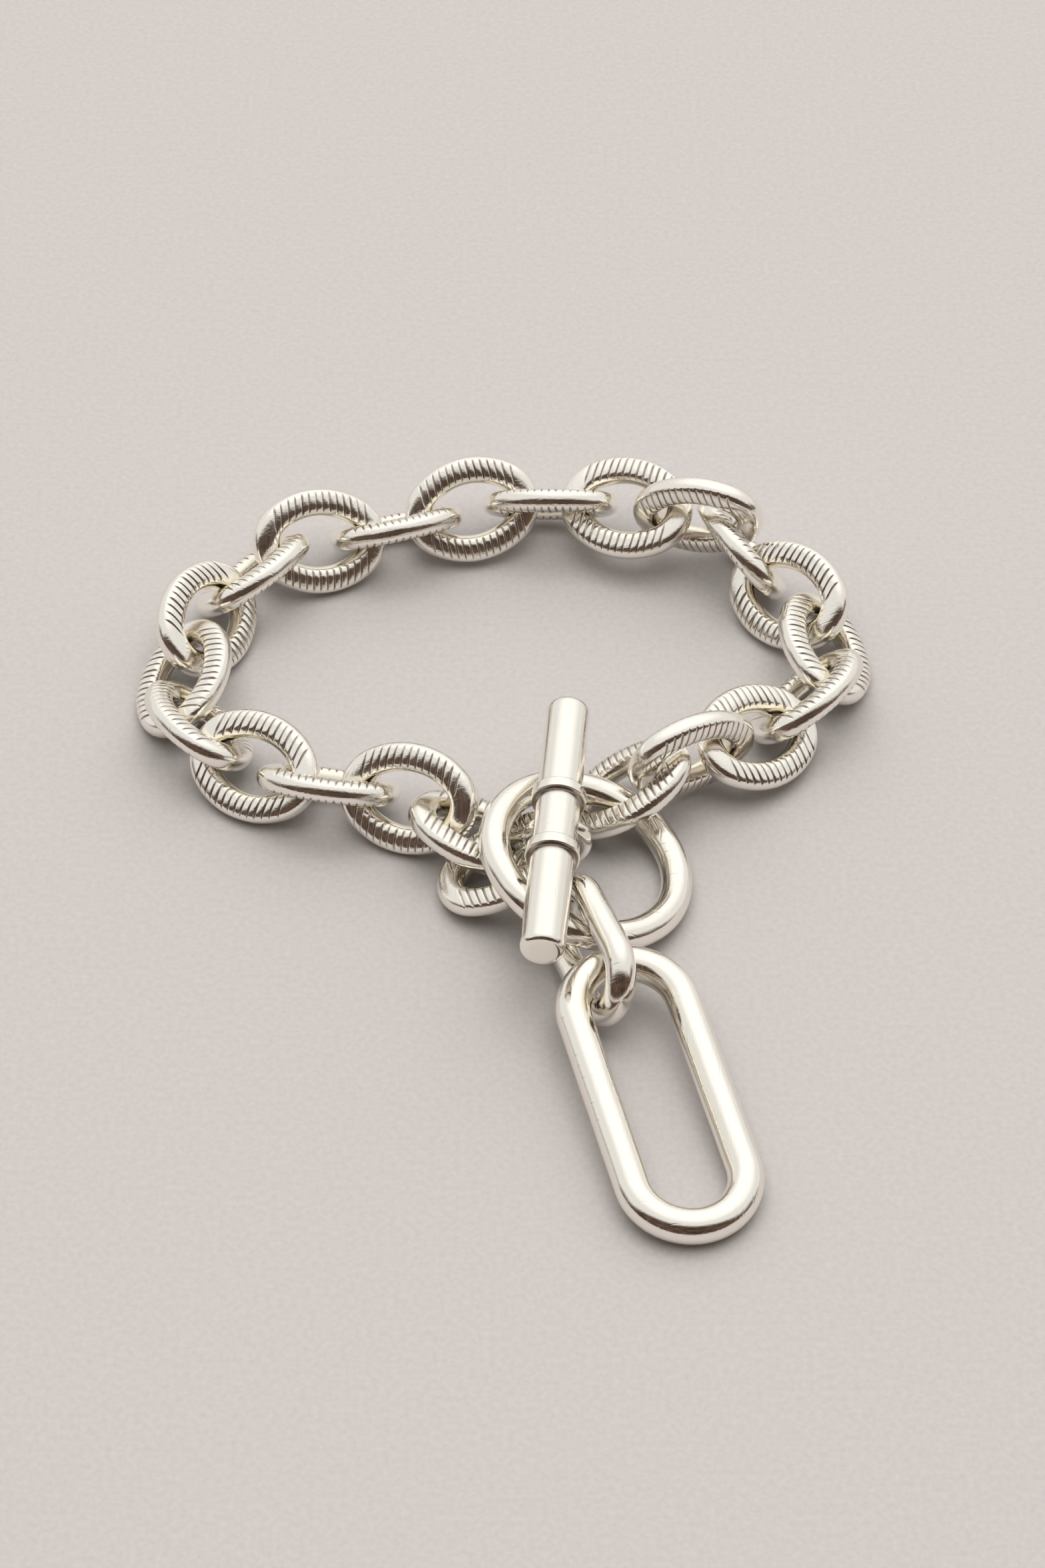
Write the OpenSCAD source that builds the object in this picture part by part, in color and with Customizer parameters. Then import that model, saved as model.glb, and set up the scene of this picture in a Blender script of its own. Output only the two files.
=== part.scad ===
// Chain bracelet with a bar-and-ring clasp and a pendant link, as it lies on a flat surface.
// Millimetres. +X is right and +Y is away from the viewer; the surface below is z = 0.
// The origin is the middle of the whole lay, at the surface.

/* [View] */
// Piece to show
// Facets of round parts
$fn = 48; // [24:8:96]

/* [Ribbed link] */
// Length over both bows
link_length = 14; // [12:0.1:18]
// Diameter of the wire
link_wire = 2.8; // [2:0.1:3.4]
// Thickness of the wire between its two faces, which are pressed a little flat
link_thick = 2.6; // [2:0.1:2.8]
// Centreline radius of the bows
bow_radius = 3.2; // [2.4:0.1:4]
// How far the smooth bows lie below the ribbed sides
bow_step = 0.03; // [0.01:0.01:0.1]

/* [Toggle bar] */
// Length of the bar
bar_length = 30.7; // [25:0.1:40]
// Diameter of the bar
bar_diameter = 4.2; // [3:0.1:6]
// Rounding of the bar's two end edges
bar_edge = 0.3; // [0.1:0.05:1]
// Diameter of the two raised collars
collar_diameter = 5.2; // [4.4:0.1:7]
// Thickness of each collar
collar_thick = 1.2; // [0.6:0.1:2]
// Distance between the middles of the collars
collar_spacing = 7; // [4:0.1:10]
// How far the middle of the collar pair lies from the middle of the bar, toward the far end
collar_shift = 0.1; // [0:0.1:3]
// Centreline radius of the eye below the bar
eye_radius = 2.6; // [2:0.1:4]
// Diameter of the wire of the eye
eye_wire = 1.5; // [1:0.1:2]
// How far the eye lies from the middle of the bar, toward the far end
eye_shift = 1.9; // [0:0.1:3]
// Depth of the middle of the eye below the axis of the bar
eye_depth = 3.9; // [3:0.1:6]

/* [Toggle ring] */
// Centreline radius of the ring
ring_radius = 9.15; // [6:0.05:12]
// Diameter of the wire of the ring
ring_wire = 3; // [2:0.1:4]

/* [Jump link] */
// Length over both bows
jump_length = 16.4; // [12:0.2:22]
// Centreline radius of the bows
jump_radius = 3.5; // [2.5:0.1:5]
// Diameter of the wire
jump_wire = 2.8; // [2:0.1:4]

/* [Pendant link] */
// Length over both bows
pendant_length = 31.5; // [24:0.5:40]
// Centreline radius of the bows
pendant_radius = 5.15; // [4:0.05:8]
// Diameter of the wire
pendant_wire = 3.3; // [2:0.1:4]

/* [Colours] */
// Colour of the ribbed links
chain_colour = "lightgray"; // [lightgray, silver, gainsboro]
// Colour of the smooth clasp pieces
clasp_colour = "silver"; // [lightgray, silver, gainsboro]

/* [Hidden] */

// The oval of a ribbed link is four arcs that meet on a 3-4-5 triangle.
bow_offset = (link_length - link_wire) / 2 - bow_radius;
side_offset = bow_offset * 4 / 3;
side_radius = bow_radius + bow_offset * 5 / 3;
bow_angle = atan2(side_offset, bow_offset);
// The bows run this far into the sides, so that the wire is one solid.
bow_overlap = 5;

// Shift that brings the middle of the lay to the origin.
lay_shift = [1.77, 8.69];

// How each ribbed link lies, from the ring round to the bar.
// Columns: x, y, lift above the surface, heading, lean about its length, slope of its length.
LINK_LAY = [
    [10, -4.6, 0.2, 18, -15, 27],
    [16.3, -1.7, 0.6, 30, -83, -16],
    [22.8, 2.3, 0.7, 36, 28, -11],
    [28, 8, 0, 49, -41, 6],
    [30.2, 15.1, 0, 96, 34, 2],
    [26.9, 21.9, 0.1, 137, -45, -5],
    [22.4, 28.5, 0, 116, 56, 1],
    [17.9, 30.6, 1.8, 160, 79, -20],
    [10.7, 33.1, 2.6, 159, -30, -4],
    [2.9, 34.7, 0.6, 175, 49, -5],
    [-5.2, 34.2, 0.4, -167, -48, -6],
    [-13, 32.1, 0.2, -163, 40, -1],
    [-20.8, 29.6, 0.1, -165, -50, 9],
    [-27.4, 25.4, 0, -132, 41, -3],
    [-31.7, 18.5, 0.1, -115, -47, 2],
    [-33.6, 11, 0, -99, 30, -8],
    [-31.7, 4.1, 0.1, -60, -38, 6],
    [-26, -1.2, 0, -31, 37, 1],
    [-18.7, -4, 0.2, -7, -40, -4],
    [-10.9, -6, 0, -19, 49, 3],
    [-4.3, -9.5, 0, -20, -19, -14],
    [-1.7, -13.7, 0, 17, -8, 23]
];
LAY_X = 0;
LAY_Y = 1;
LAY_LIFT = 2;
LAY_HEADING = 3;
LAY_LEAN = 4;
LAY_SLOPE = 5;

// The same columns for the jump link and the pendant link.
JUMP_LAY = [6.2, -25.4, 0, -70, 69, 4];
PENDANT_LAY = [12.2, -40.8, 0, -74, -2, -7];

// Middle of the ring, and how far its left rim is tipped up.
ring_place = [6, -13.9];
ring_tip = 19;
// The ring rests on its right rim.
ring_height = ring_radius * sin(ring_tip) + ring_wire / 2;
// Middle of the bar, and the direction of its near end.
bar_middle = [3.1, -14.8, 10.1];
bar_heading = -95;

// Height of the middle of an oval link that rests on the surface at this lean and slope.
function rest_height(row, reach, rise) =
    let (
        along = abs(sin(row[LAY_SLOPE])),
        across = abs(cos(row[LAY_SLOPE]) * sin(row[LAY_LEAN]))
    )
    reach * along + rise * norm([along, across]);

// Lowest reach of the wire's section, which is round and pressed a little flat, below its centreline.
function section_reach(flat, upright) =
    let (half_wire = link_wire / 2, half_thick = link_thick / 2)
    upright * half_wire <= half_thick
        ? half_wire
        : flat * sqrt(half_wire * half_wire - half_thick * half_thick) + upright * half_thick;

// Height for a ribbed link: its oval is lowest on a bow or on a side.
function link_height(row) =
    let (
        along = abs(sin(row[LAY_SLOPE])),
        across = abs(cos(row[LAY_SLOPE]) * sin(row[LAY_LEAN])),
        upright = abs(cos(row[LAY_SLOPE]) * cos(row[LAY_LEAN])),
        flat = norm([along, across])
    )
    section_reach(flat, upright) + (
        along * side_offset > across * bow_offset
            ? bow_offset * along + bow_radius * flat
            : side_radius * flat - side_offset * across
    );

// Puts a piece that lies in the x-y plane into its place in the lay.
module lay(row, height) {
    translate([row[LAY_X] + lay_shift[0], row[LAY_Y] + lay_shift[1], height + row[LAY_LIFT]])
        rotate([0, 0, row[LAY_HEADING]])
            rotate([0, -row[LAY_SLOPE], 0])
                rotate([row[LAY_LEAN], 0, 0])
                    children();
}

// Section of the link's wire: round, and pressed a little flat on two faces.
module wire_section(inset) {
    intersection() {
        circle(d = link_wire - 2 * inset);
        square([link_wire, link_thick - 2 * inset], center = true);
    }
}

// Bent stretch of the link's wire, its middle on +X.
module wire_arc(radius, sweep, inset) {
    rotate([0, 0, -sweep / 2])
        rotate_extrude(angle = sweep)
            translate([radius, 0])
                wire_section(inset);
}

// One oval link: two tight bows and two long sides.
module ribbed_link() {
    for (turn = [0, 180])
        rotate([0, 0, turn]) {
            translate([bow_offset, 0, 0])
                wire_arc(bow_radius, 2 * (bow_angle + bow_overlap), bow_step);
            translate([0, -side_offset, 0])
                rotate([0, 0, 90])
                    wire_arc(side_radius, 180 - 2 * bow_angle, 0);
        }
}

// Smooth link of round wire: two half rings and two straight sides.
module smooth_link(length, radius, wire) {
    straight = length - 2 * radius - wire;
    for (turn = [0, 180])
        rotate([0, 0, turn]) {
            translate([straight / 2, 0, 0])
                rotate([0, 0, -90])
                    rotate_extrude(angle = 180)
                        translate([radius, 0])
                            circle(d = wire);
            translate([-straight / 2, radius, 0])
                rotate([0, 90, 0])
                    cylinder(d = wire, h = straight);
        }
}

// Half outline of a turned disc with broken edges, from low to high along the axis.
function disc_outline(radius, low, high, edge) = [
    [radius - edge, low],
    [radius - edge * 0.3, low + edge * 0.3],
    [radius, low + edge],
    [radius, high - edge],
    [radius - edge * 0.3, high - edge * 0.3],
    [radius - edge, high]
];

// Half outline of the bar from its far end to its near end, with its two collars.
function bar_outline() =
    let (
        core = bar_diameter / 2,
        end = bar_length / 2,
        collar = collar_diameter / 2,
        half = collar_thick / 2,
        far = -collar_spacing / 2 - collar_shift,
        near = collar_spacing / 2 - collar_shift,
        edge = 0.2,
        shaft = disc_outline(core, -end, end, bar_edge)
    )
    concat(
        [[0, -end], shaft[0], shaft[1], shaft[2], [core, far - half]],
        disc_outline(collar, far - half, far + half, edge),
        [[core, far + half], [core, near - half]],
        disc_outline(collar, near - half, near + half, edge),
        [[core, near + half], shaft[3], shaft[4], shaft[5], [0, end]]
    );

module toggle_bar() {
    color(clasp_colour)
        translate([bar_middle[0] + lay_shift[0], bar_middle[1] + lay_shift[1], bar_middle[2]])
            rotate([0, 0, bar_heading]) {
                rotate([0, 90, 0])
                    rotate_extrude()
                        polygon(bar_outline());
                translate([-eye_shift, 0, -eye_depth])
                    rotate([0, 90, 0])
                        rotate_extrude()
                            translate([eye_radius, 0])
                                circle(d = eye_wire);
            }
}

module toggle_ring() {
    color(clasp_colour)
        translate([ring_place[0] + lay_shift[0], ring_place[1] + lay_shift[1], ring_height])
            rotate([0, ring_tip, 0])
                rotate_extrude()
                    translate([ring_radius, 0])
                        circle(d = ring_wire);
}

module jump_link() {
    reach = jump_length / 2 - jump_wire / 2 - jump_radius;
    height = rest_height(JUMP_LAY, reach, jump_radius) + jump_wire / 2;
    color(clasp_colour)
        lay(JUMP_LAY, height)
            smooth_link(jump_length, jump_radius, jump_wire);
}

module pendant_link() {
    reach = pendant_length / 2 - pendant_wire / 2 - pendant_radius;
    height = rest_height(PENDANT_LAY, reach, pendant_radius) + pendant_wire / 2;
    color(clasp_colour)
        lay(PENDANT_LAY, height)
            smooth_link(pendant_length, pendant_radius, pendant_wire);
}

// One ribbed link of the chain, counted from 1 at the ring.
module chain_link(number) {
    row = LINK_LAY[number - 1];
    color(chain_colour)
        lay(row, link_height(row))
            ribbed_link();
}

module link_01() { chain_link(1); }
module link_02() { chain_link(2); }
module link_03() { chain_link(3); }
module link_04() { chain_link(4); }
module link_05() { chain_link(5); }
module link_06() { chain_link(6); }
module link_07() { chain_link(7); }
module link_08() { chain_link(8); }
module link_09() { chain_link(9); }
module link_10() { chain_link(10); }
module link_11() { chain_link(11); }
module link_12() { chain_link(12); }
module link_13() { chain_link(13); }
module link_14() { chain_link(14); }
module link_15() { chain_link(15); }
module link_16() { chain_link(16); }
module link_17() { chain_link(17); }
module link_18() { chain_link(18); }
module link_19() { chain_link(19); }
module link_20() { chain_link(20); }
module link_21() { chain_link(21); }
module link_22() { chain_link(22); }

toggle_bar();
toggle_ring();
jump_link();
pendant_link();
link_01();
link_02();
link_03();
link_04();
link_05();
link_06();
link_07();
link_08();
link_09();
link_10();
link_11();
link_12();
link_13();
link_14();
link_15();
link_16();
link_17();
link_18();
link_19();
link_20();
link_21();
link_22();
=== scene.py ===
# %% [markdown]
# # A ribbed silver chain bracelet with a bar-and-ring clasp
# The bracelet is a loop of 22 heavy oval links. Each link is bent from thick wire, pressed a little flat
# on two faces, and grooved across along both long sides. A turned bar lies across a smooth ring and closes
# the loop, and a large smooth link hangs from the ring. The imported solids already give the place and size
# of every piece, so this lesson reads them, makes a detailed mesh for each one in the same place, and then
# gives the metal, the paper below it and the light.

import math

import bpy
import numpy as np
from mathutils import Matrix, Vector


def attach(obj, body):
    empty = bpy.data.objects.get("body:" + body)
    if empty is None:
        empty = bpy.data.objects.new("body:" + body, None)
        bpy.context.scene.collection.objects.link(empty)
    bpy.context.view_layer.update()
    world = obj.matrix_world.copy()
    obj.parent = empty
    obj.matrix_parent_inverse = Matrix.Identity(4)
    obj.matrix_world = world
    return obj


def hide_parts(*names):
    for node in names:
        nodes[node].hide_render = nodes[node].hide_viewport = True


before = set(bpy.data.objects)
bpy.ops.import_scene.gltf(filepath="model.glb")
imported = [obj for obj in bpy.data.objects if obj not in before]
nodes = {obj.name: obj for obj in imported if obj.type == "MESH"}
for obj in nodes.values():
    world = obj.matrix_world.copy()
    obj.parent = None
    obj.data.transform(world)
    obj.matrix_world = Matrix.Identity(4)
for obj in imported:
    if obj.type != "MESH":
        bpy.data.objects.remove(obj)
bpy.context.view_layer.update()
MM = 0.001
link_names = sorted(name for name in nodes if name.startswith("link_"))
print("solids:", len(nodes), "ribbed links:", len(link_names))

# %% [markdown]
# ## The camera
# The photograph looks down at the bracelet from the front at a steep angle with a long lens. Blender
# could place a camera by hand, but an aim point, a height angle and a distance are easier to read and to
# change. The long lens keeps the far links nearly as large as the near ones. The plain Standard view is
# chosen because the filmic ones grey the highlights, and bright silver on pale paper needs its white.

# %% Camera at the photograph's viewing angle
view_height = math.radians(47.2)
view_distance = 364.7 * MM
aim_point = Vector((1.77, 8.69, 0.0)) * MM
toward_viewer = Vector((0.0, -math.cos(view_height), math.sin(view_height)))

camera_data = bpy.data.cameras.new("camera")
camera_data.sensor_fit = "VERTICAL"
camera_data.sensor_height = 36.0
camera_data.lens = 85.5
camera_data.clip_start = 0.01
camera_data.clip_end = 20.0
camera = bpy.data.objects.new("camera", camera_data)
bpy.context.scene.collection.objects.link(camera)
camera.location = aim_point + toward_viewer * view_distance
camera.rotation_euler = (math.pi / 2 - view_height, 0.0, 0.0)
bpy.context.scene.camera = camera
bpy.context.scene.view_settings.view_transform = "Standard"
print("camera at", [round(v, 4) for v in camera.location])

# %% [markdown]
# ## Where each piece lies
# A solid's place is in its points. A link is longest along its own length, next across its width, and
# thinnest through its thickness, so the three main directions of its surface give its frame. The spread
# of the faces is weighed by their area, because a fine mesh has many points where it bends and few where
# it is straight.

# %% Frame of a solid from its own faces
def solid_frame(name):
    """Centre of a symmetric solid, and its long, wide and thin directions as the columns of a matrix."""
    faces = nodes[name].data.polygons
    centres = np.array([tuple(face.center) for face in faces]) / MM
    areas = np.array([face.area for face in faces])
    weight = areas / areas.sum()
    centre = weight @ centres
    spread = (centres - centre).T @ ((centres - centre) * weight[:, None])
    directions = np.linalg.eigh(spread)[1][:, ::-1]
    if np.linalg.det(directions) < 0:
        directions[:, 2] *= -1
    return centre, directions


for name in ("link_01", "pendant_link"):
    centre, directions = solid_frame(name)
    print(name, "centre", np.round(centre, 2), "length along", np.round(directions[:, 0], 2))

# %% [markdown]
# ## From rings of points to a mesh
# Every piece here is a section carried along a closed path, or turned about an axis. Curves with a bevel
# would do for plain wire, but the grooves need points where they lie, so the rings of points are worked
# out with numpy and joined into quads. Numbers that the finish needs later, such as how deep a point lies
# in a groove, are kept on the points as named attributes.

# %% Mesh helpers
def ring_mesh(name, rings, marks, close_path=True):
    """Joins an array of rings (rings x points x 3, millimetres) into a smooth quad mesh with its marks."""
    count, size = rings.shape[:2]
    steps = count if close_path else count - 1
    row = np.arange(steps)[:, None] * size
    next_row = ((np.arange(steps) + 1) % count)[:, None] * size
    column = np.arange(size)[None, :]
    next_column = (column + 1) % size
    quads = np.stack([row + column, next_row + column, next_row + next_column, row + next_column], axis=-1)
    mesh = bpy.data.meshes.new(name)
    mesh.from_pydata((rings.reshape(-1, 3) * MM).tolist(), [], quads.reshape(-1, 4).tolist())
    for mark, values in marks.items():
        layer = mesh.attributes.new(mark, "FLOAT", "POINT")
        layer.data.foreach_set("value", values.reshape(-1).astype(np.float32))
    mesh.validate()
    mesh.shade_smooth()
    mesh.update()
    return mesh


def add_piece(name, mesh, node_name, material):
    """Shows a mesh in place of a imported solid."""
    piece = bpy.data.objects.new(name, mesh)
    bpy.context.scene.collection.objects.link(piece)
    mesh.materials.append(material)
    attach(piece, "root")
    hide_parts(node_name)


def in_frame(points, centre, directions):
    """Carries points from a piece's own frame to its place in the lay."""
    return points @ directions.T + centre


print("mesh helpers: ring_mesh, add_piece, in_frame")

# %% [markdown]
# ## The finish: silver plate
# The real surface is bright silver over brass. It is never a perfect mirror: it has hairlines from wear,
# a faint orange-peel from polishing, and a brown film where a cloth can't reach, in the grooves and on
# the inner side of the wire. Three small node groups give these effects, so that the ribbed links and the
# smooth clasp can share them with their own amounts.

# %% Node group helpers
def new_group(name, inputs, outputs):
    """An empty shader node group with named sockets; returns it with its two end nodes."""
    group = bpy.data.node_groups.new(name, "ShaderNodeTree")
    for socket_name, kind, value in inputs:
        socket = group.interface.new_socket(name=socket_name, in_out="INPUT", socket_type=kind)
        socket.default_value = value
    for socket_name, kind in outputs:
        group.interface.new_socket(name=socket_name, in_out="OUTPUT", socket_type=kind)
    return group, group.nodes.new("NodeGroupInput"), group.nodes.new("NodeGroupOutput")


def add_node(tree, kind, **settings):
    """A node of one kind, with its settings."""
    node = tree.nodes.new(kind)
    for key, value in settings.items():
        setattr(node, key, value)
    return node


def math_node(tree, operation, first, second, clamp=False):
    """A maths node on two values, each a number or an output socket."""
    node = add_node(tree, "ShaderNodeMath", operation=operation, use_clamp=clamp)
    for index, value in enumerate((first, second)):
        if isinstance(value, (int, float)):
            node.inputs[index].default_value = value
        else:
            tree.links.new(value, node.inputs[index])
    return node.outputs[0]


def ranged(tree, value, low, high, out_low=0.0, out_high=1.0):
    """Spreads a value from one range to another and holds it at the ends."""
    node = add_node(tree, "ShaderNodeMapRange", clamp=True)
    tree.links.new(value, node.inputs["Value"])
    node.inputs["From Min"].default_value = low
    node.inputs["From Max"].default_value = high
    node.inputs["To Min"].default_value = out_low
    node.inputs["To Max"].default_value = out_high
    return node.outputs["Result"]


print("shader helpers: new_group, add_node, math_node, ranged")

# %% [markdown]
# ### Hairline scratches
# A hairline is long and thin. Noise that is squeezed along one direction and stretched along another
# gives many such lines at once, and two crossed layers keep them from looking brushed. The group puts out
# a mask for the roughness and a height for the bump.

# %% Group: hairlines
HAIR_LAYERS = (
    ((0.3, 0.2, 0.5), (9000.0, 700.0, 900.0)),
    ((0.9, -0.4, -0.7), (800.0, 8000.0, 700.0)),
)
HAIR_EDGE = (0.62, 0.72)
hairlines, group_in, group_out = new_group(
    "hairlines",
    [("Scale", "NodeSocketFloat", 1.0), ("Amount", "NodeSocketFloat", 0.5)],
    [("Mask", "NodeSocketFloat"), ("Height", "NodeSocketFloat")],
)
place = add_node(hairlines, "ShaderNodeTexCoord")
layers = []
for turn, stretch in HAIR_LAYERS:
    mapping = add_node(hairlines, "ShaderNodeMapping")
    mapping.inputs["Rotation"].default_value = turn
    mapping.inputs["Scale"].default_value = stretch
    hairlines.links.new(place.outputs["Object"], mapping.inputs["Vector"])
    noise = add_node(hairlines, "ShaderNodeTexNoise")
    noise.inputs["Detail"].default_value = 2.0
    hairlines.links.new(group_in.outputs["Scale"], noise.inputs["Scale"])
    hairlines.links.new(mapping.outputs["Vector"], noise.inputs["Vector"])
    layers.append(ranged(hairlines, noise.outputs["Fac"], *HAIR_EDGE))
both = math_node(hairlines, "MAXIMUM", layers[0], layers[1])
strength = math_node(hairlines, "MULTIPLY", both, group_in.outputs["Amount"])
hairlines.links.new(strength, group_out.inputs["Mask"])
hairlines.links.new(math_node(hairlines, "MULTIPLY", strength, -1.0), group_out.inputs["Height"])
print("group", hairlines.name, "with", len(hairlines.nodes), "nodes")

# %% [markdown]
# ### Polished grain
# Cast and tumbled silver has a fine pebbled skin and a few wider, softer waves. One fine and one coarse
# noise are added: the fine one breaks up the edge of each reflection, as the photograph shows it, and the
# coarse one bends it.

# %% Group: polished grain
GRAIN_LAYERS = (("Fine", 3800.0, 3.0), ("Coarse", 700.0, 1.0))
grain, group_in, group_out = new_group(
    "polished_grain",
    [("Fine", "NodeSocketFloat", 0.5), ("Coarse", "NodeSocketFloat", 0.5)],
    [("Height", "NodeSocketFloat")],
)
place = add_node(grain, "ShaderNodeTexCoord")
heights = []
for amount, scale, detail in GRAIN_LAYERS:
    noise = add_node(grain, "ShaderNodeTexNoise")
    noise.inputs["Scale"].default_value = scale
    noise.inputs["Detail"].default_value = detail
    grain.links.new(place.outputs["Object"], noise.inputs["Vector"])
    heights.append(math_node(grain, "MULTIPLY", noise.outputs["Fac"], group_in.outputs[amount]))
grain.links.new(math_node(grain, "ADD", heights[0], heights[1]), group_out.inputs["Height"])
print("group", grain.name, "with", len(grain.nodes), "nodes")

# %% [markdown]
# ### Tarnish and painted shade
# Silver turns first yellow and then brown where it isn't rubbed. The meshes carry two marks, one for the
# floor of a groove and one for the inner side of the wire. On the turned bar the groove mark carries dirt and
# painted shade beside the collars instead. The group mixes the clean colour toward the yellow film on the
# inner side and toward brown in the groove and in the painted shade, broken up by a soft noise.

# %% Group: tarnish and painted shade
PATCH_EDGE = (0.3, 0.7)
PATCH_LEAST = 0.35
tarnish_and_shade, group_in, group_out = new_group(
    "tarnish_and_shade",
    [
        ("Clean", "NodeSocketColor", (0.97, 0.935, 0.865, 1.0)),
        ("Film", "NodeSocketColor", (0.9, 0.83, 0.64, 1.0)),
        # Brown is tarnish in the link grooves. On the turned bar it is partly dirt and partly painted shade
        # beside the collars.
        ("Brown", "NodeSocketColor", (0.19, 0.125, 0.085, 1.0)),
        ("Inner", "NodeSocketFloat", 0.0),
        ("Groove", "NodeSocketFloat", 0.0),
    ],
    [("Color", "NodeSocketColor"), ("Mask", "NodeSocketFloat")],
)
place = add_node(tarnish_and_shade, "ShaderNodeTexCoord")
cloud = add_node(tarnish_and_shade, "ShaderNodeTexNoise")
cloud.inputs["Scale"].default_value = 420.0
cloud.inputs["Detail"].default_value = 4.0
tarnish_and_shade.links.new(place.outputs["Object"], cloud.inputs["Vector"])
patches = ranged(tarnish_and_shade, cloud.outputs["Fac"], *PATCH_EDGE, PATCH_LEAST, 1.0)
inner = math_node(tarnish_and_shade, "MULTIPLY", group_in.outputs["Inner"], patches, clamp=True)
groove = math_node(tarnish_and_shade, "MULTIPLY", group_in.outputs["Groove"], patches, clamp=True)
colour = group_in.outputs["Clean"]
for factor, second in ((inner, "Film"), (groove, "Brown")):
    mix = add_node(tarnish_and_shade, "ShaderNodeMix", data_type="RGBA")
    tarnish_and_shade.links.new(factor, mix.inputs["Factor"])
    tarnish_and_shade.links.new(colour, mix.inputs["A"])
    tarnish_and_shade.links.new(group_in.outputs[second], mix.inputs["B"])
    colour = mix.outputs["Result"]
tarnish_and_shade.links.new(colour, group_out.inputs["Color"])
tarnish_and_shade.links.new(groove, group_out.inputs["Mask"])
print("group", tarnish_and_shade.name, "with", len(tarnish_and_shade.nodes), "nodes")

# %% [markdown]
# ### The plate materials
# One maker's function places the three groups in a material and joins them to the metal shader. The
# ribbed chain has more tarnish and grain; the clasp is smoother, with more hairlines.

# %% Silver plate
HAIR_SCALE = 0.35
HAIR_ROUGHNESS = 0.12
TARNISH_ROUGHNESS = 0.25
BUMP_STRENGTH = 0.6
BUMP_HEIGHT = 0.02 * MM


def silver_plate(name, roughness, fine, coarse, hairline_amount, film, brown):
    """Bright silver plate with its own amounts of grain, hairlines, tarnish and the bar's painted shade."""
    material = bpy.data.materials.new(name)
    material.use_nodes = True
    tree = material.node_tree
    shader = tree.nodes["Principled BSDF"]
    shader.inputs["Metallic"].default_value = 1.0
    tone = add_node(tree, "ShaderNodeGroup", node_tree=tarnish_and_shade)
    # The groove mark brings the brown: tarnish in link grooves, and dirt with painted shade beside the bar's
    # collars.
    for mark, amount, socket in (("inner", film, "Inner"), ("groove", brown, "Groove")):
        attribute = add_node(tree, "ShaderNodeAttribute", attribute_name=mark)
        tree.links.new(math_node(tree, "MULTIPLY", attribute.outputs["Fac"], amount), tone.inputs[socket])
    tree.links.new(tone.outputs["Color"], shader.inputs["Base Color"])
    lines = add_node(tree, "ShaderNodeGroup", node_tree=hairlines)
    lines.inputs["Scale"].default_value = HAIR_SCALE
    lines.inputs["Amount"].default_value = hairline_amount
    skin = add_node(tree, "ShaderNodeGroup", node_tree=grain)
    skin.inputs["Fine"].default_value = fine
    skin.inputs["Coarse"].default_value = coarse
    worn = math_node(tree, "MULTIPLY", lines.outputs["Mask"], HAIR_ROUGHNESS)
    dull = math_node(tree, "MULTIPLY", tone.outputs["Mask"], TARNISH_ROUGHNESS)
    rough = math_node(tree, "ADD", math_node(tree, "ADD", worn, roughness), dull)
    tree.links.new(rough, shader.inputs["Roughness"])
    height = math_node(tree, "ADD", skin.outputs["Height"], lines.outputs["Height"])
    bump = add_node(tree, "ShaderNodeBump")
    bump.inputs["Strength"].default_value = BUMP_STRENGTH
    bump.inputs["Distance"].default_value = BUMP_HEIGHT
    tree.links.new(height, bump.inputs["Height"])
    tree.links.new(bump.outputs["Normal"], shader.inputs["Normal"])
    return material


chain_plate = silver_plate(
    "chain_plate", roughness=0.15, fine=1.1, coarse=1.2, hairline_amount=0.5, film=0.55, brown=0.95
)
clasp_plate = silver_plate(
    "clasp_plate", roughness=0.13, fine=0.45, coarse=0.9, hairline_amount=0.7, film=0.3, brown=1.0
)
print("materials:", chain_plate.name, clasp_plate.name)

# %% [markdown]
# ## The ribbed link
# A link starts as a length of thick wire bent to an oval. Its outline is four arcs: two tight bows and
# two long sides. The wire is round, but pressed so that its two faces are nearly flat. Then a tool
# presses short V grooves into both faces of both long sides. Every groove is square to the link's length,
# follows the face, and runs out in a point where the wire rounds away. A row of Boolean cuts would be slow
# and ragged on 22 links. Here the rings of points stand where the grooves are, and each point sinks by
# the depth of the groove at its place.

# %% Sizes of the link, in millimetres
LINK_LENGTH = 14.0
LINK_WIRE = 2.8
BOW_RADIUS = 3.2
bow_offset = (LINK_LENGTH - LINK_WIRE) / 2 - BOW_RADIUS
side_offset = bow_offset * 4 / 3
side_radius = BOW_RADIUS + bow_offset * 5 / 3
bow_angle = math.atan2(side_offset, bow_offset)
side_half = side_radius * (math.pi / 2 - bow_angle)
bow_half = BOW_RADIUS * bow_angle
oval_length = 4 * (side_half + bow_half)
print("wire in one link:", round(oval_length, 1), "mm; one side:", round(2 * side_half, 1), "mm")


# %% The oval path
def oval_path(distance):
    """Points and outward directions on the oval, by distance from the tip of the right bow."""
    turn = np.mod(distance, oval_length)
    quarter = oval_length / 4
    part = np.floor(turn / quarter).astype(int) % 4
    along = turn - part * quarter
    along = np.where(part % 2 == 1, quarter - along, along)
    on_bow = along < bow_half
    bow = along / BOW_RADIUS
    side = bow_angle + (along - bow_half) / side_radius
    angle = np.where(on_bow, bow, side)
    radius = np.where(on_bow, BOW_RADIUS, side_radius)
    x = np.where(on_bow, bow_offset, 0.0) + radius * np.cos(angle)
    y = np.where(on_bow, 0.0, -side_offset) + radius * np.sin(angle)
    flip_x = np.where((part == 1) | (part == 2), -1.0, 1.0)
    flip_y = np.where(part >= 2, -1.0, 1.0)
    return x * flip_x, y * flip_y, np.cos(angle) * flip_x, np.sin(angle) * flip_y


print("tip of the bow at x =", round(float(oval_path(0.0)[0]), 2), "mm")

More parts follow.
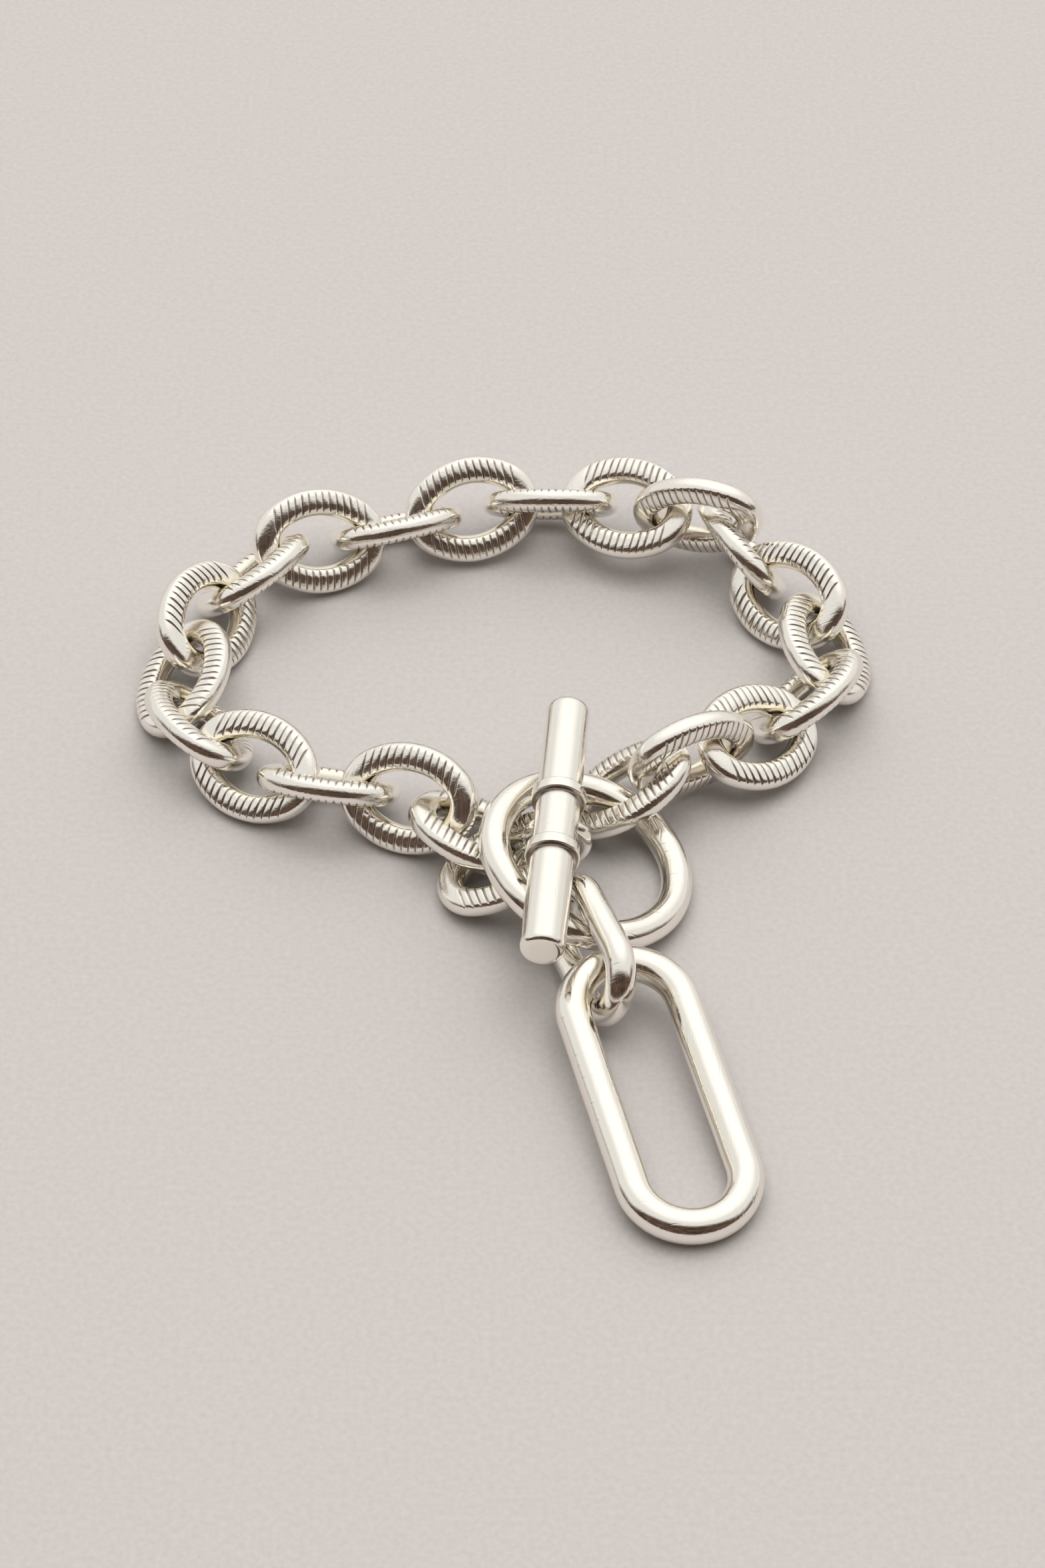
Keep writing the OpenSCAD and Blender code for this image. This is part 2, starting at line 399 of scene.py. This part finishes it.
# %% [markdown]
# ### The wire's section and its waves
# The section is a circle cut by two straight lines, one for each pressed face, with the corners softened
# by a high power, as in a rounded square. The faces slope down a little toward the outside of the link.
# A few long, low waves are added along the wire, because a hand-finished surface is never quite true.

# %% The wire's section
SECTION_POINTS = 56
SECTION_CRISP = 8.0
FACE_HALF = 1.23
FACE_SLOPE = math.radians(6)


def section_point(angle):
    """Point of the wire's section, round but pressed on two faces: across the wire, and up through it."""
    toward_face = np.abs(np.sin(angle)) * math.cos(FACE_SLOPE) + np.cos(angle) * math.sin(FACE_SLOPE)
    face = np.clip(toward_face, 0, None) / FACE_HALF
    reach = ((LINK_WIRE / 2) ** -SECTION_CRISP + face ** SECTION_CRISP) ** (-1 / SECTION_CRISP)
    return reach * np.cos(angle), reach * np.sin(angle)


def inner_mark(angle, start, spread):
    """1 on the inner side of the wire and 0 on its outer side, with a soft edge between."""
    return np.clip((-np.cos(angle) - start) / spread, 0, 1)


print("thickness over the faces:", round(2 * float(section_point(math.pi / 2)[1]), 2), "mm")

# %% Low waves along a wire
WAVE_COUNT = 5
FULL_TURN = 6.3
LINK_WAVE = 0.015


def soft_waves(random, distance, angle, period, amount):
    """A few long, low waves along and round a wire; each has its own counts and starts at its own angle."""
    total = np.zeros(np.broadcast(distance, angle).shape)
    for _ in range(WAVE_COUNT):
        turns = random.integers(3, 12)
        around = random.integers(1, 4)
        start = random.uniform(0, FULL_TURN)
        total += np.sin(2 * math.pi * turns * distance / period + around * angle + start)
    return amount * total / WAVE_COUNT


print("waves on a link are at most", LINK_WAVE, "mm high")

# %% [markdown]
# ### Where the grooves are
# The rings of points are close together at the grooves and wide apart on the bows. Because a groove is
# straight and the wire is bent, a ring there leans against the path, and `level_cut` finds how far. Each
# groove is a little off its even place and depth, because the real ones are.

# %% Sizes of the grooves, in millimetres
GROOVE_COUNT = 14
GROOVE_PITCH = 0.73
GROOVE_HALF = 0.11
GROOVE_DEPTH = 0.17
GROOVE_REACH = 6.2
GROOVE_FADE = 0.7
GROOVE_STEPS = (-GROOVE_PITCH / 2, -0.16, -0.105, -0.05, 0.0, 0.05, 0.105, 0.16)
PLACE_SCATTER = 0.015
DEPTH_SCATTER = (0.8, 1.15)
print("grooved length of a side:", round(GROOVE_COUNT * GROOVE_PITCH, 1), "mm")


# %% Rings of points at the grooves
def level_cut(place, across):
    """Distance along the wire, from the middle of a side, at which a cut square to the link crosses it."""
    size = np.abs(place)
    on_side = side_radius * np.arcsin(np.clip(size / (side_radius + across), 0, 1))
    turned = np.arccos(np.clip((size - bow_offset) / (BOW_RADIUS + across), -1, 1))
    on_bow = side_half + BOW_RADIUS * (bow_angle - turned)
    beyond = size > (side_radius + across) * math.sin(side_half / side_radius)
    return np.sign(place) * np.where(beyond, on_bow, on_side)


def cut_places(random):
    """Places of the rings along the link, the distance of each from its groove, and the groove's depth."""
    groove = (np.arange(GROOVE_COUNT) - (GROOVE_COUNT - 1) / 2) * GROOVE_PITCH
    groove = groove + random.normal(0, PLACE_SCATTER, GROOVE_COUNT)
    depth = GROOVE_DEPTH * random.uniform(*DEPTH_SCATTER, GROOVE_COUNT)
    offset = np.tile(GROOVE_STEPS, GROOVE_COUNT)
    place = np.repeat(groove, len(GROOVE_STEPS)) + offset
    return place[:, None], offset[:, None], np.repeat(depth, len(GROOVE_STEPS))[:, None]


edges = np.array([-LINK_WIRE / 2, LINK_WIRE / 2])
print("a groove 3 mm from the middle crosses the wire's edges at", np.round(level_cut(3.0, edges), 2))

# %% [markdown]
# ### One ribbed link
# A grooved side is a set of rings, and plain rings lead round the bows to the other side. Each groove is
# deepest at its middle line and comes to a point at the edges of the face. The band of grooves sits a
# little toward the outside of the link, and the metal between two grooves is very slightly domed. How deep
# a point lies in a groove is kept as a mark, so that the tarnish knows where to go.

# %% Rings of the two sides and the bows
LEAN_LIMIT = 1.2
BOW_RINGS = 24
PAST_GROOVES = 9.0


def grooved_side(random, side, across):
    """Rings of one side: distance along the wire, distance from the groove, its depth, and its fading."""
    place, offset, depth = cut_places(random)
    square = level_cut(place, 0.0 * across)
    bend = level_cut(place, across) - square
    # The path runs against the places, so their sign and then their order are turned round.
    along = -(square + LEAN_LIMIT * np.tanh(bend / LEAN_LIMIT))
    fade = np.clip((GROOVE_REACH - np.abs(along)) / GROOVE_FADE, 0, 1)
    middle = oval_length / 4 * (1 + 2 * side)
    return tuple(row[::-1] for row in (middle + along, offset, depth * fade, fade))


def with_bows(sides):
    """Joins the two grooved sides by plain rings, evenly spaced round the bows and far from any groove."""
    share = np.linspace(0, 1, BOW_RINGS + 2)[1:-1, None]
    plain = np.zeros((BOW_RINGS, SECTION_POINTS))
    first, second = (side[0] for side in sides)
    stretches = ((sides[0], first[-1], second[0]), (sides[1], second[-1], first[0] + oval_length))
    rows = []
    for side, start, end in stretches:
        bow = (start + (end - start) * share, plain[:, :1] + PAST_GROOVES, plain, plain)
        rows += [side, bow]
    return [np.concatenate(column) for column in zip(*rows)]


print("rings in one link:", 2 * (GROOVE_COUNT * len(GROOVE_STEPS) + BOW_RINGS))

# %% Points of one ribbed link
LINK_INNER = (0.3, 0.6)
GROOVE_EDGE = math.radians(56)
GROOVE_SHIFT = math.radians(6)
GROOVE_TIP = math.radians(16)
LAND_DOME = 0.02
BROWN_DEPTH = 0.08


def ribbed_link(seed):
    """Points and marks of one grooved link in its own frame."""
    random = np.random.default_rng(seed)
    angle = np.linspace(0, 2 * math.pi, SECTION_POINTS, endpoint=False)[None, :]
    across, up = section_point(angle)
    sides = [grooved_side(random, side, across) for side in (0, 1)]
    where, offset, depth, fade = with_bows(sides)
    from_crown = np.abs(np.abs(angle - math.pi) - math.pi / 2)
    edge = GROOVE_EDGE + GROOVE_SHIFT * np.cos(angle)
    tip = np.clip((edge - from_crown) / GROOVE_TIP, 0, 1)
    groove = np.clip(tip * depth - np.abs(offset) * GROOVE_DEPTH / GROOVE_HALF, 0, None)
    dome = LAND_DOME * tip * fade * np.clip(1 - (2 * offset / GROOVE_PITCH) ** 2, 0, 1)
    wave = soft_waves(random, where, angle, oval_length, LINK_WAVE)
    swell = 1 + (wave - groove - dome) / (LINK_WIRE / 2)
    x, y, out_x, out_y = oval_path(where)
    points = np.stack([x + out_x * across * swell, y + out_y * across * swell, up * swell], axis=-1)
    inner = inner_mark(angle, *LINK_INNER) + np.zeros(points.shape[:2])
    return points, {"groove": np.clip(groove / BROWN_DEPTH, 0, 1), "inner": inner}


print("a groove is about", 2 * GROOVE_HALF, "mm wide and", GROOVE_DEPTH, "mm deep")

# %% The 22 ribbed links
for number, name in enumerate(link_names, start=1):
    points, marks = ribbed_link(seed=number)
    centre, directions = solid_frame(name)
    mesh = ring_mesh("ribbed_" + name, in_frame(points, centre, directions), marks)
    add_piece("ribbed_" + name, mesh, name, chain_plate)
print("ribbed links:", len(link_names), "with", len(mesh.polygons), "faces each")

# %% [markdown]
# ## The smooth links and the ring
# The ring is a plain round of wire. The pendant link and the small link that holds it are wire bent to a
# long oval with straight sides. All three share one function: a round section carried along two half
# circles and the straight stretches between them. Low waves in the section keep their long reflections
# from looking drawn with a ruler.

# %% Smooth wire loops
LOOP_INNER = (0.2, 0.8)
LOOP_RINGS = 260
LOOP_SECTION = 48


def smooth_loop(half_straight, radius, wire_radius, seed, wave, rings=LOOP_RINGS, section=LOOP_SECTION):
    """Points of a closed loop of round wire in its own frame."""
    random = np.random.default_rng(seed)
    length = 2 * math.pi * radius + 4 * half_straight
    distance = np.linspace(0, length, rings, endpoint=False)[:, None]
    quarter = math.pi * radius / 2
    half = length / 2
    along = np.mod(distance, half)
    sign = np.where(distance >= half, -1.0, 1.0)
    first = along < quarter
    straight = (along >= quarter) & (along < quarter + 2 * half_straight)
    turned = np.where(first, along / radius, math.pi / 2)
    turned = np.where(along >= quarter + 2 * half_straight, (along - 2 * half_straight) / radius, turned)
    middle_x = np.where(first, half_straight, -half_straight)
    middle_x = np.where(straight, half_straight - (along - quarter), middle_x)
    x = (middle_x + radius * np.cos(turned)) * sign
    y = radius * np.sin(turned) * sign
    out_x = np.cos(turned) * sign
    out_y = np.sin(turned) * sign
    angle = np.linspace(0, 2 * math.pi, section, endpoint=False)[None, :]
    wire = wire_radius + soft_waves(random, distance, angle, length, wave)
    across = wire * np.cos(angle)
    points = np.stack([x + out_x * across, y + out_y * across, wire * np.sin(angle) + 0 * x], axis=-1)
    inner = inner_mark(angle, *LOOP_INNER) + 0 * x
    return points, {"inner": inner, "groove": 0 * inner}


print("a loop has", LOOP_RINGS, "rings of", LOOP_SECTION, "points")

# %% The ring, the small link and the pendant link
LOOP_WAVE = 0.015
SMOOTH_LOOPS = {
    "toggle_ring": {"half_straight": 0.0, "radius": 9.15, "wire_radius": 1.5, "seed": 31},
    "jump_link": {"half_straight": 3.3, "radius": 3.5, "wire_radius": 1.4, "seed": 32},
    "pendant_link": {"half_straight": 8.95, "radius": 5.15, "wire_radius": 1.65, "seed": 33},
}
for name, sizes in SMOOTH_LOOPS.items():
    points, marks = smooth_loop(wave=LOOP_WAVE, **sizes)
    centre, directions = solid_frame(name)
    mesh = ring_mesh("smooth_" + name, in_frame(points, centre, directions), marks)
    add_piece("smooth_" + name, mesh, name, clasp_plate)
    print(name, "centre", np.round(centre, 2), "faces", len(mesh.polygons))

# %% [markdown]
# ## The toggle bar
# The bar is turned: a round rod with two raised collars and rounded ends. Below it is a small eye that
# the last link hangs in. A turned piece is a half outline spun about its axis. The outline needs close
# points only at the corners, so each corner is rounded with a short curve. One more point stands on the
# flat of each end, which keeps the shading there flat.

# %% Sizes of the bar, in millimetres
BAR_HALF = 15.35
BAR_RADIUS = 2.1
BAR_ROUND = 0.75
END_FLAT = 0.9
END_FLAT_ROUND = 0.3
COLLAR_RADIUS = 2.6
COLLAR_HALF = 0.6
COLLAR_PLACES = (-3.6, 3.4)
RIM_ROUND = 0.22
FOOT_ROUND = 0.08
print("bar:", 2 * BAR_HALF, "mm long and", 2 * BAR_RADIUS, "mm thick")


# %% Outline of the bar
def rounded_outline(corners, steps=5):
    """Replaces each corner (along, radius, rounding) by a short curve."""
    corners = [np.array(corner, dtype=float) for corner in corners]
    outline = [corners[0][:2]]
    for before, corner, after in zip(corners, corners[1:], corners[2:]):
        start = before[:2] - corner[:2]
        end = after[:2] - corner[:2]
        start *= corner[2] / np.linalg.norm(start)
        end *= corner[2] / np.linalg.norm(end)
        for t in np.linspace(0, 1, steps):
            outline.append(corner[:2] + start * (1 - t) ** 2 + end * t ** 2)
    outline.append(corners[-1][:2])
    return np.array(outline)


bar_end = [(0.0, 0), (END_FLAT, END_FLAT_ROUND), (BAR_RADIUS, BAR_ROUND)]
corners = [(-BAR_HALF, radius, rounding) for radius, rounding in bar_end]
for place_along in COLLAR_PLACES:
    start = place_along - COLLAR_HALF
    end = place_along + COLLAR_HALF
    corners += [(start, BAR_RADIUS, FOOT_ROUND), (start, COLLAR_RADIUS, RIM_ROUND)]
    corners += [(end, COLLAR_RADIUS, RIM_ROUND), (end, BAR_RADIUS, FOOT_ROUND)]
corners += [(BAR_HALF, radius, rounding) for radius, rounding in reversed(bar_end)]
bar_outline = rounded_outline(corners)
print("outline points:", len(bar_outline))

# %% Turn the bar
RING_SPACING = 0.35
POLE_RADIUS = 0.002
BAR_WAVE = 0.003
BAR_WAVE_PERIOD = 33.5


def turned_bar(outline, seed, turns=96):
    """Rings of the bar along its own x axis, with extra rings on the long plain stretches."""
    random = np.random.default_rng(seed)
    filled = [outline[0]]
    for before, after in zip(outline, outline[1:]):
        pieces = max(1, int(np.linalg.norm(after - before) / RING_SPACING))
        filled += [before + (after - before) * (k + 1) / pieces for k in range(pieces)]
    filled = np.array(filled)
    along = filled[:, 0][:, None]
    radius = np.maximum(filled[:, 1], POLE_RADIUS)[:, None]
    angle = np.linspace(0, 2 * math.pi, turns, endpoint=False)[None, :]
    shape = radius * (1 + soft_waves(random, along, 0 * angle, BAR_WAVE_PERIOD, BAR_WAVE))
    return np.stack([along + 0 * angle, shape * np.cos(angle), shape * np.sin(angle)], axis=-1)


bar_points = turned_bar(bar_outline, seed=41)
print("rings of the bar:", len(bar_points))

# %% [markdown]
# The bar's own frame can't come from the spread of its faces alone, because its collars aren't in the
# middle and the eye hangs below. So its two ends are looked up, and its middle, its length and its upright
# direction follow from them.

# %% Frame of the bar from its two ends
END_SLICE = 0.2


def solid_points(name):
    """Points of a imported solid, in millimetres."""
    mesh = nodes[name].data
    points = np.empty(len(mesh.vertices) * 3)
    mesh.vertices.foreach_get("co", points)
    return points.reshape(-1, 3) / MM


def bar_frame():
    """Middle of the bar and its directions: along to the near end, across, and up."""
    points = solid_points("toggle_bar")
    centre, directions = solid_frame("toggle_bar")
    reach = (points - centre) @ directions[:, 0]
    high = points[reach > reach.max() - END_SLICE].mean(axis=0)
    low = points[reach < reach.min() + END_SLICE].mean(axis=0)
    far_end, near_end = sorted((high, low), key=lambda point: -point[1])
    along = (near_end - far_end) / np.linalg.norm(near_end - far_end)
    across = np.cross((0.0, 0.0, 1.0), along)
    across /= np.linalg.norm(across)
    return (far_end + near_end) / 2, np.stack([along, across, np.cross(along, across)], axis=1)


bar_centre, bar_directions = bar_frame()
print("bar middle", np.round(bar_centre, 2), "along", np.round(bar_directions[:, 0], 2))

# %% [markdown]
# Polish and dirt stay in the corner where a collar meets the rod, and painted shade darkens that corner
# further, most of all on the collar's near side. The brown is strongest at the foot of the collar, fades
# along the rod, and leaves the collar's rim bright.

# %% Dirt and painted shade beside the collars
FILM_AND_SHADE_SIDES = ((COLLAR_HALF, 0.42, 1.0), (-COLLAR_HALF, 0.15, 0.6))
FILM_START = 1.3
RIM_MARGIN = 0.06
RIM_FADE = 0.1
ROD_FILM = 0.3
bar_reach = np.hypot(bar_points[..., 1], bar_points[..., 2])
below_rim = np.clip((COLLAR_RADIUS - RIM_MARGIN - bar_reach) / RIM_FADE, 0, 1)
collar_film_and_shade = np.zeros(bar_reach.shape)
# Each collar face gets a brown that is partly dirt and partly painted shade. It is stronger and wider on the
# near face.
for place_along in COLLAR_PLACES:
    for face, spread, strength in FILM_AND_SHADE_SIDES:
        from_face = np.abs(bar_points[..., 0] - place_along - face)
        film = strength * np.clip(FILM_START - from_face / spread, 0, 1)
        collar_film_and_shade = np.maximum(collar_film_and_shade, film)
# The bar's groove mark carries this dirt and painted shade into the plate's brown.
bar_marks = {"groove": collar_film_and_shade * below_rim, "inner": ROD_FILM + 0 * collar_film_and_shade}
print("rings with film:", int((collar_film_and_shade.max(axis=1) > 0).sum()))

# %% The bar and its eye
EYE_RADIUS = 2.6
EYE_WIRE = 0.75
EYE_WAVE = 0.005
EYE_PLACE = -1.9
EYE_DEPTH = 3.9
bar_mesh = ring_mesh("turned_bar", in_frame(bar_points, bar_centre, bar_directions), bar_marks, False)
add_piece("turned_bar", bar_mesh, "toggle_bar", clasp_plate)

eye_points, eye_marks = smooth_loop(0.0, EYE_RADIUS, EYE_WIRE, seed=42, wave=EYE_WAVE, rings=96, section=24)
eye_x, eye_y, eye_z = (eye_points[..., k] for k in range(3))
eye_points = np.stack([eye_z + EYE_PLACE, eye_x, eye_y - EYE_DEPTH], axis=-1)
eye_mesh = ring_mesh("bar_eye", in_frame(eye_points, bar_centre, bar_directions), eye_marks)
add_piece("bar_eye", eye_mesh, "toggle_bar", clasp_plate)
print("faces of the bar and its eye:", len(bar_mesh.polygons), len(eye_mesh.polygons))

# %% [markdown]
# ## The paper and the light
# The bracelet lies on warm grey-white paper. Paper is not quite even, so a very fine noise mottles it
# between two close tones. Two wide lamps, one beyond the bracelet and one straight above, add to the room's
# light on the paper and give the soft shadows. Silver would show their hard outlines as white bars, so both
# are hidden from glossy reflections, and the silver mirrors only the room, the paper and itself.

# %% Paper
PAPER_DARK = (0.39, 0.363, 0.348, 1.0)
PAPER_LIGHT = (0.49, 0.46, 0.445, 1.0)
FLOOR_HALF = 2000.0 * MM
paper = bpy.data.materials.new("paper")
paper.use_nodes = True
tree = paper.node_tree
shader = tree.nodes["Principled BSDF"]
shader.inputs["Roughness"].default_value = 0.9
place = add_node(tree, "ShaderNodeTexCoord")
fibre = add_node(tree, "ShaderNodeTexNoise")
fibre.inputs["Scale"].default_value = 1800.0
fibre.inputs["Detail"].default_value = 3.0
tree.links.new(place.outputs["Object"], fibre.inputs["Vector"])
mix = add_node(tree, "ShaderNodeMix", data_type="RGBA")
mix.inputs["A"].default_value = PAPER_DARK
mix.inputs["B"].default_value = PAPER_LIGHT
tree.links.new(fibre.outputs["Fac"], mix.inputs["Factor"])
tree.links.new(mix.outputs["Result"], shader.inputs["Base Color"])

sheet_corners = ((-1, -1), (1, -1), (1, 1), (-1, 1))
floor_mesh = bpy.data.meshes.new("paper_floor")
floor_mesh.from_pydata([(x * FLOOR_HALF, y * FLOOR_HALF, 0.0) for x, y in sheet_corners], [], [(0, 1, 2, 3)])
floor_mesh.materials.append(paper)
floor = bpy.data.objects.new("paper_floor", floor_mesh)
bpy.context.scene.collection.objects.link(floor)
print("paper:", 2 * FLOOR_HALF, "m wide")


# %% Lamps for the paper
def soft_light(name, azimuth, elevation, distance, width, height, power):
    """A rectangular light that faces the bracelet; azimuth 0 is beyond it and 90 is to the right."""
    data = bpy.data.lights.new(name, "AREA")
    data.shape = "RECTANGLE"
    data.size = width
    data.size_y = height
    data.energy = power
    light = bpy.data.objects.new(name, data)
    bpy.context.scene.collection.objects.link(light)
    turn, rise = math.radians(azimuth), math.radians(elevation)
    direction = Vector((math.sin(turn) * math.cos(rise), math.cos(turn) * math.cos(rise), math.sin(rise)))
    light.location = direction * distance
    light.rotation_euler = direction.to_track_quat("Z", "Y").to_euler()
    light.visible_glossy = False
    return light


soft_box = soft_light("soft_box", azimuth=10, elevation=60, distance=1.2, width=1.8, height=1.3, power=5.6)
paper_fill = soft_light("paper_fill", azimuth=0, elevation=89, distance=1.2, width=1.0, height=1.0, power=8.8)
print("lamps:", soft_box.name, paper_fill.name)

# %% [markdown]
# A mirror shows only what stands round it, so the room makes silver look like silver. Seen from the
# bracelet it is white beyond and above, brightest where a window or a soft box would be, and dark brown
# toward the viewer and just above the paper. A world shader can say this with a little maths on the
# direction: how far it faces the viewer, how low it is, and how near it is to the brightest place. That
# keeps the edges of the reflections as soft as they are in the photograph, which lamps would not do.

# %% Room light by direction
ROOM_STRENGTH = 0.8
BOX_STRENGTH = 1.17
BOX_DIRECTION = (0.09, 0.49, 0.87)
BOX_EDGE = (0.6, 1.0)
VIEWER_EDGE = (-0.30, -0.04)
VIEWER_LIFT = 0.5
LOW_EDGE = (0.09, 0.46)
LOW_LEAST = 0.06

world = bpy.data.worlds.new("soft_room")
bpy.context.scene.world = world
world.use_nodes = True
tree = world.node_tree
place = add_node(tree, "ShaderNodeTexCoord")
split = add_node(tree, "ShaderNodeSeparateXYZ")
tree.links.new(place.outputs["Generated"], split.inputs["Vector"])
lift = math_node(tree, "MULTIPLY", split.outputs["Z"], VIEWER_LIFT)
facing = ranged(tree, math_node(tree, "ADD", split.outputs["Y"], lift), *VIEWER_EDGE)
rim = math_node(tree, "ADD", split.outputs["Z"], math_node(tree, "MAXIMUM", split.outputs["Y"], 0.0))
horizon = ranged(tree, rim, *LOW_EDGE, LOW_LEAST, 1.0)
to_box = add_node(tree, "ShaderNodeVectorMath", operation="DOT_PRODUCT")
tree.links.new(place.outputs["Generated"], to_box.inputs[0])
to_box.inputs[1].default_value = BOX_DIRECTION
glow = ranged(tree, to_box.outputs["Value"], *BOX_EDGE, ROOM_STRENGTH, BOX_STRENGTH)
print("the room is up to", BOX_STRENGTH, "bright and falls to", ROOM_STRENGTH)

# %% [markdown]
# The dark side of the room isn't one even brown: a coarse noise stands for the darker and lighter things
# that are in a real one. Every range in the room's shader is a smooth step, because a plain ramp would
# show its ends as lines in the curved metal.

# %% Colours of the room
THINGS_EDGE = (0.35, 0.68)
DARK_THINGS = (0.045, 0.031, 0.023, 1.0)
BROWN_THINGS = (0.19, 0.118, 0.085, 1.0)
WHITE_ROOM = (1.0, 0.985, 0.96, 1.0)
things = add_node(tree, "ShaderNodeTexNoise")
things.inputs["Scale"].default_value = 7.0
things.inputs["Detail"].default_value = 3.0
tree.links.new(place.outputs["Generated"], things.inputs["Vector"])
dark_side = add_node(tree, "ShaderNodeMix", data_type="RGBA")
dark_side.inputs["A"].default_value = DARK_THINGS
dark_side.inputs["B"].default_value = BROWN_THINGS
tree.links.new(ranged(tree, things.outputs["Fac"], *THINGS_EDGE), dark_side.inputs["Factor"])
for node in tree.nodes:
    if node.bl_idname == "ShaderNodeMapRange":
        node.interpolation_type = "SMOOTHSTEP"
room = add_node(tree, "ShaderNodeMix", data_type="RGBA")
tree.links.new(dark_side.outputs["Result"], room.inputs["A"])
room.inputs["B"].default_value = WHITE_ROOM
tree.links.new(math_node(tree, "MULTIPLY", facing, horizon), room.inputs["Factor"])
tree.links.new(room.outputs["Result"], tree.nodes["Background"].inputs["Color"])
tree.links.new(glow, tree.nodes["Background"].inputs["Strength"])
